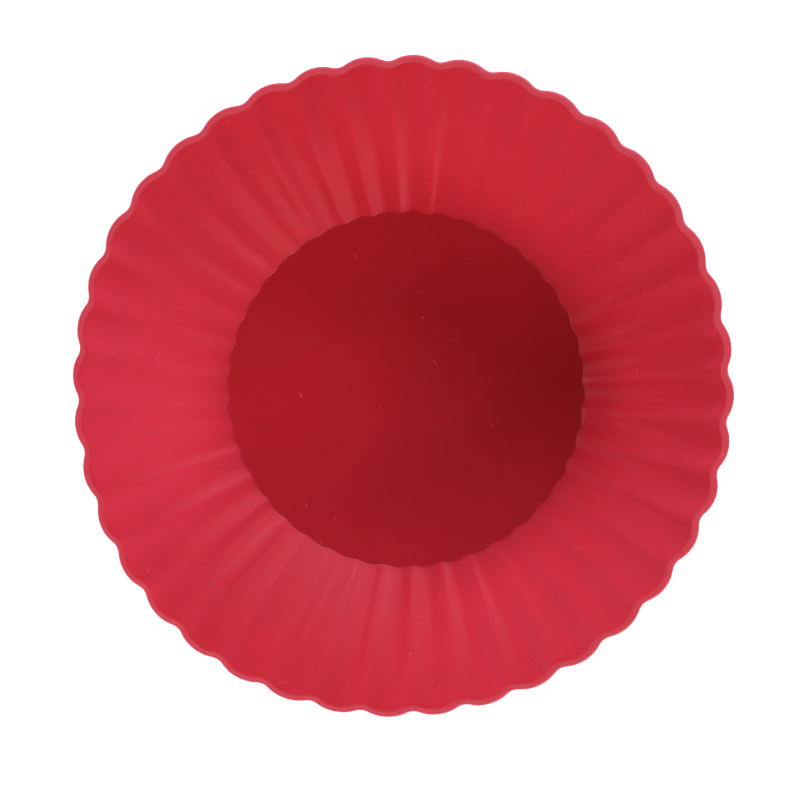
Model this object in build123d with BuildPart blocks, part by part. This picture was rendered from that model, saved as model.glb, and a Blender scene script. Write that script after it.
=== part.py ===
from build123d import *
from math import cos, radians
import os

# A round fluted baking cup, moulded in one piece of silicone rubber: a flat floor, a wall that
# flares outwards in narrow upright flutes, and a plain scalloped rim.
# Millimetres, +Z up. The origin is the middle of the underside, and a flute's crest lies on +X.

# Driving dimensions. The diameters and flute depths are those of the outside, before its edges
# are rounded.
rim_diameter = 70.0  # across the crests of the flutes, at the rim
foot_diameter = 44.0  # across the crests, where the cup stands
cup_height = 32.0
wall_thickness = 0.7  # measured level, and square to the outline at that height
floor_thickness = 1.2
flute_count = 40
rim_flute_depth = 0.6  # from crest to valley
foot_flute_depth = 0.25
rim_valley_radius = 1.6  # the flutes are broad, and the valleys between them tight
foot_valley_radius = 1.0
foot_round = 1.0  # outside, where the wall turns under
crease_round = 0.15  # inside, where the floor meets the wall
lip_round = 0.2  # both edges of the rim's top face

flute_pitch = 360 / flute_count


def at_height(foot_value, rim_value, height):
    """The wall runs straight from foot to rim, so every size between is a straight share."""
    return foot_value + (rim_value - foot_value) * height / cup_height


def flute_radius_for(crest_radius, valley_centre, valley_radius):
    """The radius of the flute's arc that passes through the crest and is tangent to the valley's
    arc. The arcs touch where the distance between their centres is the sum of their radii."""
    reach = valley_centre * cos(radians(flute_pitch / 2))
    gap = crest_radius**2 + valley_centre**2 - 2 * crest_radius * reach - valley_radius**2
    return gap / (2 * (valley_radius + crest_radius - reach))


def fluted_section(height, inset):
    """The outline at one height, moved inwards by the inset: one broad arc for each flute, tangent
    to the tight arcs of the valleys beside it. The inset keeps the arcs' centres where they are."""
    crest_radius = at_height(foot_diameter, rim_diameter, height) / 2
    flute_depth = at_height(foot_flute_depth, rim_flute_depth, height)
    valley_radius = at_height(foot_valley_radius, rim_valley_radius, height)
    valley_centre = crest_radius - flute_depth + valley_radius
    flute_radius = flute_radius_for(crest_radius, valley_centre, valley_radius)

    flute_middle = Vector(crest_radius - flute_radius, 0)
    valley_middle = Vector(valley_centre, 0).rotate(Axis.Z, flute_pitch / 2)
    share = (flute_radius - inset) / (flute_radius + valley_radius)
    crest = Vector(crest_radius - inset, 0)
    end = flute_middle + (valley_middle - flute_middle) * share
    start = Vector(end.X, -end.Y)
    valley = Vector(crest_radius - flute_depth - inset, 0).rotate(Axis.Z, flute_pitch / 2)
    next_start = start.rotate(Axis.Z, flute_pitch)

    with BuildSketch(Plane.XY.offset(height)) as section:
        with BuildLine():
            for flute in range(flute_count):
                turn = flute * flute_pitch
                ThreePointArc(*[point.rotate(Axis.Z, turn) for point in (start, crest, end)])
                ThreePointArc(*[point.rotate(Axis.Z, turn) for point in (end, valley, next_start)])
        make_face()
    return section.sketch


os.makedirs("parts", exist_ok=True)

with BuildPart() as baking_cup:
    # The outside, from the foot to the rim.
    loft([fluted_section(0, 0), fluted_section(cup_height, 0)], ruled=True)
    fillet(baking_cup.edges().group_by(Axis.Z)[0], foot_round)

    # The hollow, from the top of the floor to the rim.
    hollow = [fluted_section(floor_thickness, wall_thickness), fluted_section(cup_height, wall_thickness)]
    loft(hollow, ruled=True, mode=Mode.SUBTRACT)
    crease = baking_cup.edges().filter_by_position(Axis.Z, floor_thickness, floor_thickness)
    fillet(crease, crease_round)

    # The rim's top face keeps a flat between its two rounded edges.
    fillet(baking_cup.edges().group_by(Axis.Z)[-1], lip_round)

baking_cup.part.label = "baking_cup"
export_step(baking_cup.part, "parts/baking_cup.step")
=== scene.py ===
# %% [markdown]
# # A fluted baking cup in red silicone
#
# The real object is one soft moulding: a flat round floor, a wall that flares outwards in forty
# narrow flutes, and a scalloped rim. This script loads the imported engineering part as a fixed
# frame, then makes a finer piece that takes its place: the same cup with the small unevenness of
# a real, floppy moulding, and a surface that lets a little light through as silicone does.

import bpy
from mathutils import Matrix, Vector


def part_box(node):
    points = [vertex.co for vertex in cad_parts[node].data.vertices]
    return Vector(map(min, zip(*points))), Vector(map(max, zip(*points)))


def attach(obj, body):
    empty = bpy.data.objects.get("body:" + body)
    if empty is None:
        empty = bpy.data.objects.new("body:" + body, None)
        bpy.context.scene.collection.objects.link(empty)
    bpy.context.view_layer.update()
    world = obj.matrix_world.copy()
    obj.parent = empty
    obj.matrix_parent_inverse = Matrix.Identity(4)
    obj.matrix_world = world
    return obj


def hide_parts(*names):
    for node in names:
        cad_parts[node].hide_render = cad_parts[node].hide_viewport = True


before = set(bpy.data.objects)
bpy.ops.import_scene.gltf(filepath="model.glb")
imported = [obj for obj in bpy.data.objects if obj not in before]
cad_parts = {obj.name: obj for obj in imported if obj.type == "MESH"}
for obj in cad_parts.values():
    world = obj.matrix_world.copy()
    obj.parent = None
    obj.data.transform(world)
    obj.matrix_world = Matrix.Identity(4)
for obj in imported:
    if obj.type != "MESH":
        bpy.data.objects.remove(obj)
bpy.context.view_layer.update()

# %% Tools and units
from math import atan2, cos, hypot, pi, radians, sin, sqrt, tan

import bmesh
import bpy
from mathutils import Matrix, Vector

MM = 0.001
print("nodes in the frame:", sorted(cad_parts))

# %% [markdown]
# ## The sizes of the cup
#
# Blender works in metres, but a cup is easier to think about in millimetres, so the shape is drawn
# in millimetres and scaled once at the end. The sizes below are the part's own, and the height is
# read from the part itself.

# %% The driving sizes, in millimetres
rim_radius = 35.0
foot_radius = 22.0
floor_thickness = 1.2
wall_thickness = 0.7
flute_count = 40
rim_flute_depth = 0.6
foot_flute_depth = 0.25
rim_valley_radius = 1.6
foot_valley_radius = 1.0
foot_round = 1.0
crease_round = 0.15
lip_round = 0.2

cup_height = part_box("baking_cup")[1].z / MM
half_flute = pi / flute_count


# %%
def straight_share(foot_value, rim_value, height):
    """The wall is straight from foot to rim, so a size in between is a straight share."""
    return foot_value + (rim_value - foot_value) * height / cup_height


# %% [markdown]
# ## One line of the profile
#
# A cup is a solid of revolution with flutes pressed into it, so it starts as half of its cross
# section: six corners joined by straight edges, from the middle of the floor's top face, over the
# rim, to the middle of the underside. Bevelling the four real corners as vertices turns each into
# an arc. Nothing on a moulded part is sharper than that, because the mould is cut with a round
# tool and silicone doesn't fill a sharp edge.

# %% Draw the corners of the profile
inside_foot = straight_share(foot_radius, rim_radius, floor_thickness) - wall_thickness
cup = bmesh.new()
corner_places = [
    (0, floor_thickness),
    (inside_foot, floor_thickness),
    (rim_radius - wall_thickness, cup_height),
    (rim_radius, cup_height),
    (foot_radius, 0),
    (0, 0),
]
corners = [cup.verts.new((radius, 0, height)) for radius, height in corner_places]
for start, end in zip(corners, corners[1:]):
    cup.edges.new((start, end))


# %%
def round_corner(corner, radius, segments):
    """Turns a corner between two edges into an arc of this radius, tangent to both edges."""
    one, two = [edge.other_vert(corner).co - corner.co for edge in corner.link_edges]
    reach = radius / tan(one.angle(two) / 2)
    bmesh.ops.bevel(
        cup, geom=[corner], offset=reach, offset_type="OFFSET", segments=segments,
        profile=0.5, affect="VERTICES", material=-1, clamp_overlap=True,
    )


for corner, radius, segments in (
    (corners[1], crease_round, 7),
    (corners[2], lip_round, 4),
    (corners[3], lip_round, 4),
    (corners[4], foot_round, 7),
):
    round_corner(corner, radius, segments)
print("profile after rounding:", len(cup.verts), "points")

# %% Divide the long edges, so that the wall can bend
flat_radius = foot_radius - 2  # an edge that starts nearer to the axis is on the flat floor
floor_step, wall_step = 2.0, 1.2  # the longest edges left

for edge in cup.edges[:]:
    is_floor = edge.verts[0].co.x < flat_radius
    cuts = int(edge.calc_length() / (floor_step if is_floor else wall_step))
    if cuts:
        bmesh.ops.subdivide_edges(cup, edges=[edge], cuts=cuts)
print("profile after dividing:", len(cup.verts), "points")

# %% [markdown]
# ## One flute, then forty
#
# In plan, each flute is a broad arc and each valley a tight one, and the two are tangent. The wall
# has the same thickness all round, so its inner outline is the outer one moved inwards: the arcs
# keep their centres and only their radii change. A short spin of the profile makes one slice of
# the cup, the formula below bends the slice into a flute, and a second spin lays forty copies
# round the axis. Spinning the whole cup in small steps would give the same mesh twenty times
# more slowly, because each step of a spin looks at everything made before it.

# %% Spin one slice
steps_per_flute = 18
bmesh.ops.spin(
    cup, geom=cup.verts[:] + cup.edges[:], cent=(0, 0, 0), axis=(0, 0, 1),
    angle=2 * half_flute, steps=steps_per_flute,
)
print("one slice:", len(cup.verts), "points")


# %%
def outline_radius(turn, height, inset):
    """How far the outline lies from the axis, at an angle from the flute's crest.

    The flute's arc is centred on the line through the crest, and the valley's on the line half a
    flute away. The flute's radius is the one that makes the two arcs touch.
    """
    crest = straight_share(foot_radius, rim_radius, height)
    depth = straight_share(foot_flute_depth, rim_flute_depth, height)
    valley_radius = straight_share(foot_valley_radius, rim_valley_radius, height)
    valley_centre = crest - depth + valley_radius
    reach = valley_centre * cos(half_flute)
    flute_radius = (crest**2 + valley_centre**2 - 2 * crest * reach - valley_radius**2) / (
        2 * (valley_radius + crest - reach)
    )
    flute_centre = crest - flute_radius
    share = (flute_radius - inset) / (flute_radius + valley_radius)
    meeting = atan2(
        valley_centre * sin(half_flute) * share,
        flute_centre + (reach - flute_centre) * share,
    )
    if turn < meeting:
        aside = flute_centre * sin(turn)
        return flute_centre * cos(turn) + sqrt((flute_radius - inset) ** 2 - aside**2)
    back = half_flute - turn
    aside = valley_centre * sin(back)
    return valley_centre * cos(back) - sqrt((valley_radius + inset) ** 2 - aside**2)


# %% Bend the slice into a flute, crest in the middle of its first edge
widest_inset = 1.8  # further in than this the outline only shrinks, as on the floor
valley_gathering = 0.35  # moves the points of the mesh towards the tight valley
into_wall = cup.verts.layers.float.new("into_wall")  # remembered, to tell inside from outside

for point in cup.verts:
    radius = hypot(point.co.x, point.co.y)
    if radius == 0:
        continue
    angle = atan2(point.co.y, point.co.x)
    angle += valley_gathering * sin(flute_count * angle) / flute_count
    crest = straight_share(foot_radius, rim_radius, point.co.z)
    inset = min(crest - radius, widest_inset)
    point[into_wall] = inset
    turn = min(abs(angle), abs(2 * half_flute - angle))
    radius *= outline_radius(turn, point.co.z, inset) / (crest - inset)
    point.co.x = radius * cos(angle)
    point.co.y = radius * sin(angle)
print("the valley at the rim:", round(outline_radius(half_flute, cup_height, 0), 2), "mm from the axis")

# %% Lay the flute round the axis, and weld the copies
bmesh.ops.spin(
    cup, geom=cup.verts[:] + cup.edges[:] + cup.faces[:], cent=(0, 0, 0), axis=(0, 0, 1),
    angle=2 * pi - 2 * half_flute, steps=flute_count - 1, use_duplicate=True,
)
weld_distance = 0.0005  # far less than the shortest edge
bmesh.ops.remove_doubles(cup, verts=cup.verts, dist=weld_distance)
bmesh.ops.recalc_face_normals(cup, faces=cup.faces)
print("whole cup:", len(cup.verts), "points,", len(cup.faces), "faces")

# %% [markdown]
# ## A real, floppy cup
#
# A real cup is soft and was pulled hot from its mould, so it is never quite round, its flutes crowd
# together in places and some are a little deeper. Each of these is a slow wave round the cup, so a
# few cosines are enough. The core, the half of the mould that shapes the inside, also leaned over
# by a fifth of a millimetre, which shows as a rim that is thicker on one side. That moves only the
# inner skin of the wall, so every point was given its depth into the wall before the bending.


# %%
def waves(angle, terms):
    """A sum of slow waves round the cup. Each term is (waves per turn, size, phase in degrees)."""
    return sum(size * cos(count * angle + radians(phase)) for count, size, phase in terms)


# %% Add the unevenness
flute_crowding = ((1, 0.17, -14), (2, 0.35, 17), (4, 0.14, 159), (6, 0.12, -166))  # degrees
flute_unevenness = ((1, 0.03, -57), (2, 0.035, 70), (3, 0.04, 90))  # share of the depth
out_of_round = ((2, 0.14, -88), (3, 0.1, 13), (4, 0.127, 119), (5, 0.043, -50), (6, 0.046, 139))  # mm
core_lean = 0.2  # mm, at the rim
core_lean_angle = radians(230)

for point in cup.verts:
    radius = hypot(point.co.x, point.co.y)
    if radius == 0:
        continue
    angle = atan2(point.co.y, point.co.x)
    share = point.co.z / cup_height
    depth = straight_share(foot_flute_depth, rim_flute_depth, point.co.z)
    unevenness = waves(angle, flute_unevenness) * depth / 2 * cos(flute_count * angle)
    radius += unevenness * (radius > foot_radius / 2)  # the middle of the floor has no flutes
    radius += waves(angle, out_of_round) * share**1.5  # next to nothing at the stiff foot
    angle += radians(waves(angle, flute_crowding))
    through = (point[into_wall] - lip_round) / (wall_thickness - 2 * lip_round)
    leaning = core_lean * share * min(max(through, 0), 1)
    point.co.x = radius * cos(angle) + leaning * cos(core_lean_angle)
    point.co.y = radius * sin(angle) + leaning * sin(core_lean_angle)
print("furthest point now:", round(max(hypot(point.co.x, point.co.y) for point in cup.verts), 2), "mm")

# %% [markdown]
# ## Hand the mesh to the scene
#
# A bmesh is only a workbench, so it is copied into a mesh that an object can show. The shape is
# scaled to metres first, in the mesh itself, which leaves the object unscaled at the origin.

# %% Make it an object
bmesh.ops.scale(cup, vec=(MM, MM, MM), verts=cup.verts)
cup_mesh = bpy.data.meshes.new("silicone_cup")
cup.to_mesh(cup_mesh)
cup.free()
for face in cup_mesh.polygons:
    face.use_smooth = True
silicone_cup = bpy.data.objects.new("silicone_cup", cup_mesh)
bpy.context.scene.collection.objects.link(silicone_cup)
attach(silicone_cup, "root")
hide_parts("baking_cup")
print("finished cup:", len(cup_mesh.polygons), "faces")


# %% [markdown]
# ## The silicone: its colour
#
# Silicone rubber is a clear rubber with pigment stirred into it. Light goes a fraction of a
# millimetre in and comes out again redder, so the thin rim and the flutes look soft: that is
# subsurface scattering, with red light going furthest. The pigment isn't stirred in perfectly, so
# its colour drifts. Low on the wall the colour is painted paler, as painted light where the rim
# shades the wall, and the top of the rim is painted pinker and less red, a painted reflection of
# the light above. One flat colour would look like plastic, and an image wrapped round the cup would
# need a UV map, so each of these is a pattern or a ramp that reads the place on the cup instead.


# %%
def linear(hex_colour):
    """Turns an sRGB hex colour into the linear colour that a node wants."""
    parts = [int(hex_colour[i : i + 2], 16) / 255 for i in (1, 3, 5)]
    return (*[part / 12.92 if part <= 0.04045 else ((part + 0.055) / 1.055) ** 2.4 for part in parts], 1)


print("mid grey as the nodes see it:", round(linear("#808080")[0], 3))


# %%
def add_node(tree, kind, inputs=None, **settings):
    """Adds one node, sets its properties, then fills its inputs with values or links."""
    node = tree.nodes.new(kind)
    for name, value in settings.items():
        setattr(node, name, value)
    for name, value in (inputs or {}).items():
        if isinstance(value, bpy.types.NodeSocket):
            tree.links.new(value, node.inputs[name])
        else:
            node.inputs[name].default_value = value
    return node


# %% Start the material with a place on the cup to read its patterns from
# Moulded silicone, pigmented red: satin, slightly see-through, and pink where a slant shows its haze
red_silicone = bpy.data.materials.new("red_silicone_moulded")
red_silicone.use_nodes = True
tree = red_silicone.node_tree
tree.nodes.clear()
place = add_node(tree, "ShaderNodeTexCoord").outputs["Object"]
height_on_cup = add_node(tree, "ShaderNodeSeparateXYZ", {"Vector": place}).outputs["Z"]
print("started", red_silicone.name)

# %% The pigment, which drifts by a shade over a few millimetres
drift_width = 6 * MM
pigment_drift = add_node(
    tree, "ShaderNodeTexNoise", {"Vector": place, "Scale": 1 / drift_width, "Detail": 1.0}
)
pigment = add_node(  # inputs 6 and 7 of this node are its two colours, and output 2 is the mix
    tree, "ShaderNodeMix",
    {0: pigment_drift.outputs["Fac"], 6: linear("#a91c25"), 7: linear("#b11e27")},
    data_type="RGBA",
)
print(f"the pigment drifts about once in {drift_width / MM:.0f} mm")

# %% Painted light: the lower wall is painted paler, strongest low on the wall and absent from the floor
wall_starts, wall_sure = (floor_thickness + 0.05) * MM, (floor_thickness + 1) * MM
painted_light_top, painted_light_full = 22 * MM, 4 * MM
on_wall = add_node(
    tree, "ShaderNodeMapRange",
    {"Value": height_on_cup, "From Min": wall_starts, "From Max": wall_sure},
)
low_down = add_node(
    tree, "ShaderNodeMapRange",
    {"Value": height_on_cup, "From Min": painted_light_top, "From Max": painted_light_full},
)
low_on_wall = add_node(
    tree, "ShaderNodeMath",
    {0: on_wall.outputs["Result"], 1: low_down.outputs["Result"]}, operation="MULTIPLY",
)
# painted light: a paler red mixed in low on the wall, where the wall lies in the rim's shade
lower_wall_painted_light = add_node(
    tree, "ShaderNodeMix",
    {0: low_on_wall.outputs["Value"], 6: pigment.outputs[2], 7: linear("#b41f28")},
    data_type="RGBA",
)
print(f"the painted light fades out {painted_light_top / MM:.0f} mm up the wall")

# %% Painted reflection: the top of the rim is painted pinker and less red, as if lit from above
strip_starts, strip_sure = (cup_height - 0.4) * MM, (cup_height - 0.1) * MM
on_rim = add_node(
    tree, "ShaderNodeMapRange",
    {"Value": height_on_cup, "From Min": strip_starts, "From Max": strip_sure},
)
# painted reflection: a pinker, less red colour on the rim's top, mixed over the colour with the painted
# light low on the wall
rubber_with_painted_light = add_node(
    tree, "ShaderNodeMix",
    {0: on_rim.outputs["Result"], 6: lower_wall_painted_light.outputs[2], 7: linear("#a02a34")},
    data_type="RGBA",
)
print(f"the strip starts {strip_starts / MM:.1f} mm up")

# %% [markdown]
# ## Dust and lint
#
# Silicone is known for one thing in a kitchen drawer: it holds on to every speck of dust and every
# fibre. A Voronoi pattern splits space into cells with one point in each, and the distance to that
# point makes a round grain when only its smallest values are kept. Each cell also has a random
# colour, and its red part, squared, makes most grains fainter than a few. The same pattern
# stretched to ten times its width turns grains into short fibres. Real dust is finer than this: the
# grains are drawn up to a fifth of a millimetre wide, because smaller ones wouldn't show.

# %% Dust grains, some fainter than others
dust_spacing = 1.9 * MM
grain_edge, grain_core = 0.055, 0.025  # shares of the spacing
dust_cells = add_node(tree, "ShaderNodeTexVoronoi", {"Vector": place, "Scale": 1 / dust_spacing})
grains = add_node(
    tree, "ShaderNodeMapRange",
    {"Value": dust_cells.outputs["Distance"], "From Min": grain_edge, "From Max": grain_core},
)
chance = add_node(tree, "ShaderNodeSeparateColor", {"Color": dust_cells.outputs["Color"]})
grain_strength = add_node(
    tree, "ShaderNodeMath", {0: chance.outputs["Red"], 1: 2.0}, operation="POWER"
)
dust = add_node(
    tree, "ShaderNodeMath",
    {0: grains.outputs["Result"], 1: grain_strength.outputs["Value"]}, operation="MULTIPLY",
)
print(f"widest grain: {2 * grain_edge * dust_spacing / MM:.2f} mm")

# %% Lint, which is the same pattern stretched, on a slant that no flute shares
lint_width, lint_length = 2.2 * MM, 22 * MM  # of a cell, which holds one fibre
lint_slant = (radians(80), radians(15), radians(35))
fibre_edge, fibre_core = 0.04, 0.02  # shares of the cell
lint_strength = 0.4  # against the strongest grain of dust
stretched = add_node(
    tree, "ShaderNodeMapping",
    {
        "Vector": place,
        "Rotation": lint_slant,
        "Scale": (lint_width, lint_width, lint_length),
    },
    vector_type="TEXTURE",
)
lint_cells = add_node(
    tree, "ShaderNodeTexVoronoi", {"Vector": stretched.outputs["Vector"], "Scale": 1.0}
)
fibres = add_node(
    tree, "ShaderNodeMapRange",
    {"Value": lint_cells.outputs["Distance"], "From Min": fibre_edge, "From Max": fibre_core},
)
lint = add_node(
    tree, "ShaderNodeMath", {0: fibres.outputs["Result"], 1: lint_strength}, operation="MULTIPLY"
)
print(f"longest fibre: {2 * fibre_edge * lint_length / MM:.1f} mm")

# %% Dust and lint together pale the colour
cover = 0.6  # how much of the rubber's colour a full speck hides
specks = add_node(
    tree, "ShaderNodeMath", {0: dust.outputs["Value"], 1: lint.outputs["Value"]}, operation="MAXIMUM"
)
speck_strength = add_node(
    tree, "ShaderNodeMath", {0: specks.outputs["Value"], 1: cover}, operation="MULTIPLY"
)
colour = add_node(
    tree, "ShaderNodeMix",
    {0: speck_strength.outputs["Value"], 6: rubber_with_painted_light.outputs[2], 7: linear("#e2a6a8")},
    data_type="RGBA",
)
print("nodes for the colour:", len(tree.nodes))

# %% [markdown]
# ## The silicone: its skin
#
# The skin copies the mould, which was polished by hand but never perfectly. That gives a satin
# gloss, which turns the softboxes into soft streaks up the flutes, with slow ripples in it and
# fine draw lines where the cup slid off the core. Both reliefs are about a hundredth of a
# millimetre deep, too shallow for a mesh, so they only bend the normal. Noise that reads the
# direction from the axis, with a little of the height added, makes lines that run up the flutes.

# %% The gloss: a little duller where it has been touched, duller still on the rim and on specks
handling_width = 9 * MM
shiniest, dullest = 0.19, 0.265
rim_dulling = 0.25
handling = add_node(
    tree, "ShaderNodeTexNoise", {"Vector": place, "Scale": 1 / handling_width, "Detail": 1.0}
)
satin = add_node(
    tree, "ShaderNodeMapRange",
    {
        "Value": handling.outputs["Fac"], "From Min": 0.25, "From Max": 0.75,
        "To Min": shiniest, "To Max": dullest,
    },
)
rim_roughness = add_node(
    tree, "ShaderNodeMath",
    {0: on_rim.outputs["Result"], 1: rim_dulling, 2: satin.outputs["Result"]},
    operation="MULTIPLY_ADD",
)
roughness = add_node(
    tree, "ShaderNodeMath",
    {0: speck_strength.outputs["Value"], 1: rim_roughness.outputs["Value"]}, operation="ADD",
)
print(f"roughness of clean skin: {shiniest} to {dullest}, and up to {dullest + rim_dulling} on the rim")

# %% Slow ripples, left by polishing the mould by hand
ripple_width, ripple_depth = 2.5 * MM, 0.012 * MM
ripples = add_node(
    tree, "ShaderNodeTexNoise", {"Vector": place, "Scale": 1 / ripple_width, "Detail": 0.0}
)
rippled = add_node(
    tree, "ShaderNodeBump", {"Height": ripples.outputs["Fac"], "Distance": ripple_depth}
)
print(f"ripples: {ripple_width / MM:.1f} mm wide, {ripple_depth / MM:.3f} mm deep")

# %% The direction from the axis, with a little of the height
height_share = 2  # to the metre, so a line changes slowly on its way up
flattened = add_node(tree, "ShaderNodeVectorMath", {0: place, 1: (1, 1, 0)}, operation="MULTIPLY")
outwards = add_node(
    tree, "ShaderNodeVectorMath", {0: flattened.outputs["Vector"]}, operation="NORMALIZE"
)
along_flutes = add_node(
    tree, "ShaderNodeVectorMath",
    {0: place, 1: (0, 0, height_share), 2: outwards.outputs["Vector"]}, operation="MULTIPLY_ADD",
)
print(f"the lines drift by {height_share * cup_height * MM:.3f} up the wall, against 6.283 once round")

# %% Draw lines, up the flutes only
line_width, line_depth = 0.35 * MM, 0.01 * MM
middle_radius = 28 * MM  # where the lines have that width
lines = add_node(
    tree, "ShaderNodeTexNoise",
    {"Vector": along_flutes.outputs["Vector"], "Scale": middle_radius / line_width, "Detail": 1.0},
)
drawn = add_node(
    tree, "ShaderNodeBump",
    {
        "Height": lines.outputs["Fac"], "Distance": line_depth,
        "Strength": on_wall.outputs["Result"], "Normal": rippled.outputs["Normal"],
    },
)
print(f"draw lines: {line_width / MM:.2f} mm wide, {line_depth / MM:.2f} mm deep")

# %% [markdown]
# ## The silicone: put together
#
# Silicone bends light like a soft plastic, with an index of 1.41. Random-walk scattering follows
# light through the real thickness of the wall, so the rim glows where the light comes from behind.
# Sheen is the haze of oil and fine dust on the skin, which lifts the colour towards pink where the
# wall is seen at a slant. The faint pink tint on the reflections is the same haze.

# %% The rubber itself
skin = add_node(
    tree, "ShaderNodeBsdfPrincipled",
    {
        "Base Color": colour.outputs[2],
        "Roughness": roughness.outputs["Value"],
        "IOR": 1.41,
        "Specular Tint": linear("#ffe8f4"),
        "Normal": drawn.outputs["Normal"],
        "Subsurface Weight": 1.0,
        "Subsurface Radius": (1.0, 0.25, 0.2),  # red light goes furthest
        "Subsurface Scale": 0.4 * MM,
        "Sheen Weight": 0.38,
        "Sheen Roughness": 0.5,
        "Sheen Tint": linear("#ff94ba"),
    },
    subsurface_method="RANDOM_WALK",
)
add_node(tree, "ShaderNodeOutputMaterial", {"Surface": skin.outputs["BSDF"]})
cup_mesh.materials.append(red_silicone)
print("nodes in the silicone:", len(tree.nodes))

# %% [markdown]
# ## The floor it stands on
#
# The cup stands on white paper. The disc reaches far past the view from above, and beyond its edge
# the world below the horizon is white too, so the ground looks endless from any side. It lies a
# twentieth of a millimetre under the foot, because two faces in the same place would flicker.

# %% A pale floor
floor_radius, floor_gap = 0.7, 0.05 * MM
floor_mesh = bpy.data.meshes.new("studio_floor")
sheet = bmesh.new()
bmesh.ops.create_circle(sheet, cap_ends=True, segments=96, radius=floor_radius)
bmesh.ops.translate(sheet, vec=(0, 0, -floor_gap), verts=sheet.verts)
sheet.to_mesh(floor_mesh)
sheet.free()
studio_floor = bpy.data.objects.new("studio_floor", floor_mesh)
bpy.context.scene.collection.objects.link(studio_floor)
print("floor:", 2 * floor_radius, "m across")

# %% White paper: matt and plain, so it gives nothing but a clean ground and a soft bounce
white_paper = bpy.data.materials.new("white_paper")
white_paper.use_nodes = True
tree = white_paper.node_tree
tree.nodes.clear()
paper = add_node(tree, "ShaderNodeBsdfDiffuse", {"Color": linear("#fdfdfd")})
add_node(tree, "ShaderNodeOutputMaterial", {"Surface": paper.outputs["BSDF"]})
floor_mesh.materials.append(white_paper)
print("nodes in the paper:", len(tree.nodes))

# %% [markdown]
# ## Light for a cup with walls
#
# The rim shades the inside of a cup, and how far down a light reaches depends on its height. At
# about forty degrees it reaches the floor, which mirrors it up the far flutes as a streak. Below
# thirty it stops short of the floor and lights only the far wall. So the softboxes on the right,
# at the front and at the back stand high, and those on the left stand low, which leaves the right
# side of the floor in soft shade. The front and left ones are slightly pink and the others slightly
# blue, as when two kinds of lamp light one room. The room itself is drawn as light too: grey walls
# that darken towards the ceiling.


# %%
def add_softbox(name, azimuth, elevation, width, height, watts, colour):
    """A rectangular area light that faces the cup. Azimuth 0 is on +X and 90 on +Y."""
    light = bpy.data.lights.new(name, "AREA")
    light.shape = "RECTANGLE"
    light.size = width
    light.size_y = height
    light.energy = watts
    light.color = linear(colour)[:3]
    softbox = bpy.data.objects.new(name, light)
    bpy.context.scene.collection.objects.link(softbox)
    a, e = radians(azimuth), radians(elevation)
    away = Vector((cos(a) * cos(e), sin(a) * cos(e), sin(e)))
    softbox.location = away * softbox_distance + Vector((0, 0, cup_height * MM))
    softbox.rotation_euler = away.to_track_quat("Z", "Y").to_euler()
    softbox.visible_camera = False


# %% Seven softboxes in a ring
softbox_distance = 0.8  # m, from the middle of the mouth
warm, cool = "#ffe4e8", "#eeeeff"

for name, azimuth, elevation, width, height, watts, colour in (
    ("front_softbox", 298, 40, 0.36, 0.30, 5.2, warm),
    ("back_softbox", 83, 40, 0.38, 0.30, 4.4, cool),
    ("right_back_softbox", 54, 38, 0.42, 0.28, 4.3, cool),
    ("right_front_softbox", 332, 34, 0.42, 0.26, 1.9, cool),
    ("left_softbox", 183, 33, 0.34, 0.14, 2.2, warm),
    ("left_back_softbox", 138, 27, 0.42, 0.18, 1.9, warm),
    ("left_front_softbox", 228, 27, 0.42, 0.16, 2.3, warm),
):
    add_softbox(name, azimuth, elevation, width, height, watts, colour)
    print(f"{name}: {azimuth} degrees round, {elevation} up, {watts} W")

# %% The room: grey walls, a darker ceiling, and white below the horizon
walls_end, ceiling_starts = 0.2, 0.65  # as the sine of the angle above the horizon
wall_light, ceiling_light = 0.25, 0.1
studio = bpy.data.worlds.new("studio")
studio.use_nodes = True
tree = studio.node_tree
direction = add_node(tree, "ShaderNodeTexCoord").outputs["Generated"]
upwards = add_node(tree, "ShaderNodeSeparateXYZ", {"Vector": direction}).outputs["Z"]
walls_to_ceiling = add_node(
    tree, "ShaderNodeMapRange",
    {
        "Value": upwards, "From Min": walls_end, "From Max": ceiling_starts,
        "To Min": wall_light, "To Max": ceiling_light,
    },
)
below_horizon = add_node(tree, "ShaderNodeMath", {0: upwards, 1: 0.0}, operation="LESS_THAN")
brightness = add_node(
    tree, "ShaderNodeMath",
    {0: walls_to_ceiling.outputs["Result"], 1: below_horizon.outputs["Value"]}, operation="MAXIMUM",
)
tree.links.new(brightness.outputs["Value"], tree.nodes["Background"].inputs["Strength"])
tree.nodes["Background"].inputs["Color"].default_value = linear("#ffffff")
bpy.context.scene.world = studio
bpy.context.scene.view_settings.view_transform = "Standard"
print("nodes in the world:", len(tree.nodes))

# %% [markdown]
# ## The camera
#
# A cup that flares shows its whole inside only from above, and how much of the view the wall fills
# against the floor is set by the distance: the nearer the lens, the smaller the floor looks inside
# the rim. This camera hangs a fifth of a metre above the rim, leans a degree off the vertical and
# turns two degrees round, as a camera held by hand does. Its long lens makes the cup fill the view.

# %% The camera, almost straight above
lean_forward, lean_aside, turn_round = radians(0.28), radians(1.13), radians(2.03)
sideways, forwards, above_rim = 3.75, -2.41, 195.7  # mm from the cup's axis, before the turn
lens_data = bpy.data.cameras.new("camera")
lens_data.lens = 83.8
lens_data.sensor_width = 36
camera = bpy.data.objects.new("camera", lens_data)
bpy.context.scene.collection.objects.link(camera)
camera.rotation_euler = (lean_forward, lean_aside, turn_round)
stand = Matrix.Rotation(turn_round, 3, "Z") @ Vector((sideways, forwards, cup_height + above_rim))
camera.location = stand * MM
bpy.context.scene.camera = camera
print("camera height:", round(camera.location.z, 4), "m")
